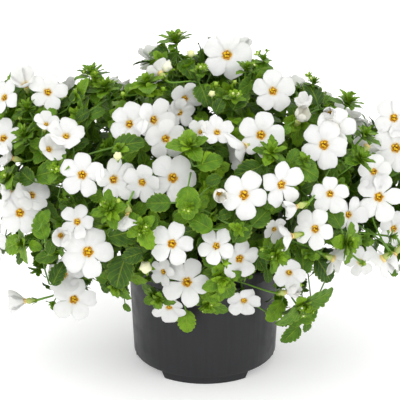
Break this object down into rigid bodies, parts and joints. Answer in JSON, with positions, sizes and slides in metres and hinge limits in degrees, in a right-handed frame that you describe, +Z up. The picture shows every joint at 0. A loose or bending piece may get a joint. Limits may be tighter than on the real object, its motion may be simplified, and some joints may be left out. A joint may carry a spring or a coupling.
{
  "type": "potted bacopa plant",
  "caption": "Bushy trailing bacopa with small white flowers and toothed green leaves, growing in a round dark plastic nursery pot on low feet.",
  "frame": {"origin": "on the ground under the middle of the plant and pot, which is the pot's axis", "axes": "+Z up along the pot's axis, -Y towards the viewer of the picture, +X to the viewer's right along the foliage's greatest width"},
  "size_m": [0.2746, 0.2092, 0.213],
  "materials": {
    "pot_plastic": "satin charcoal plastic with a fine vertical moulding texture",
    "potting_soil": "rough dark brown potting soil",
    "green_foliage": "soft matte leaf green, darker on old leaves and yellower on young ones",
    "white_petals": "matte white petals with a golden throat"
  },
  "bodies": {
    "root": {"blooms_01": "white_petals", "blooms_02": "white_petals", "blooms_03": "white_petals", "blooms_04": "white_petals", "blooms_05": "white_petals", "blooms_06": "white_petals", "blooms_07": "white_petals", "blooms_08": "white_petals", "blooms_09": "white_petals", "blooms_10": "white_petals", "blooms_11": "white_petals", "blooms_12": "white_petals", "blooms_13": "white_petals", "blooms_14": "white_petals", "blooms_15": "white_petals", "blooms_16": "white_petals", "blooms_17": "white_petals", "blooms_18": "white_petals", "blooms_19": "white_petals", "blooms_20": "white_petals", "blooms_21": "white_petals", "blooms_22": "white_petals", "blooms_23": "white_petals", "blooms_24": "white_petals", "blooms_25": "white_petals", "blooms_26": "white_petals", "blooms_27": "white_petals", "blooms_28": "white_petals", "blooms_29": "white_petals", "blooms_30": "white_petals", "blooms_31": "white_petals", "blooms_32": "white_petals", "blooms_33": "white_petals", "blooms_34": "white_petals", "blooms_35": "white_petals", "blooms_36": "white_petals", "blooms_37": "white_petals", "blooms_38": "white_petals", "blooms_39": "white_petals", "blooms_40": "white_petals", "blooms_41": "white_petals", "blooms_42": "white_petals", "blooms_43": "white_petals", "blooms_44": "white_petals", "blooms_45": "white_petals", "blooms_46": "white_petals", "blooms_47": "white_petals", "blooms_48": "white_petals", "leafy_stems_01": "green_foliage", "leafy_stems_02": "green_foliage", "leafy_stems_03": "green_foliage", "leafy_stems_04": "green_foliage", "leafy_stems_05": "green_foliage", "leafy_stems_06": "green_foliage", "leafy_stems_07": "green_foliage", "leafy_stems_08": "green_foliage", "pot": "pot_plastic", "soil": "potting_soil"}
  },
  "joints": []
}
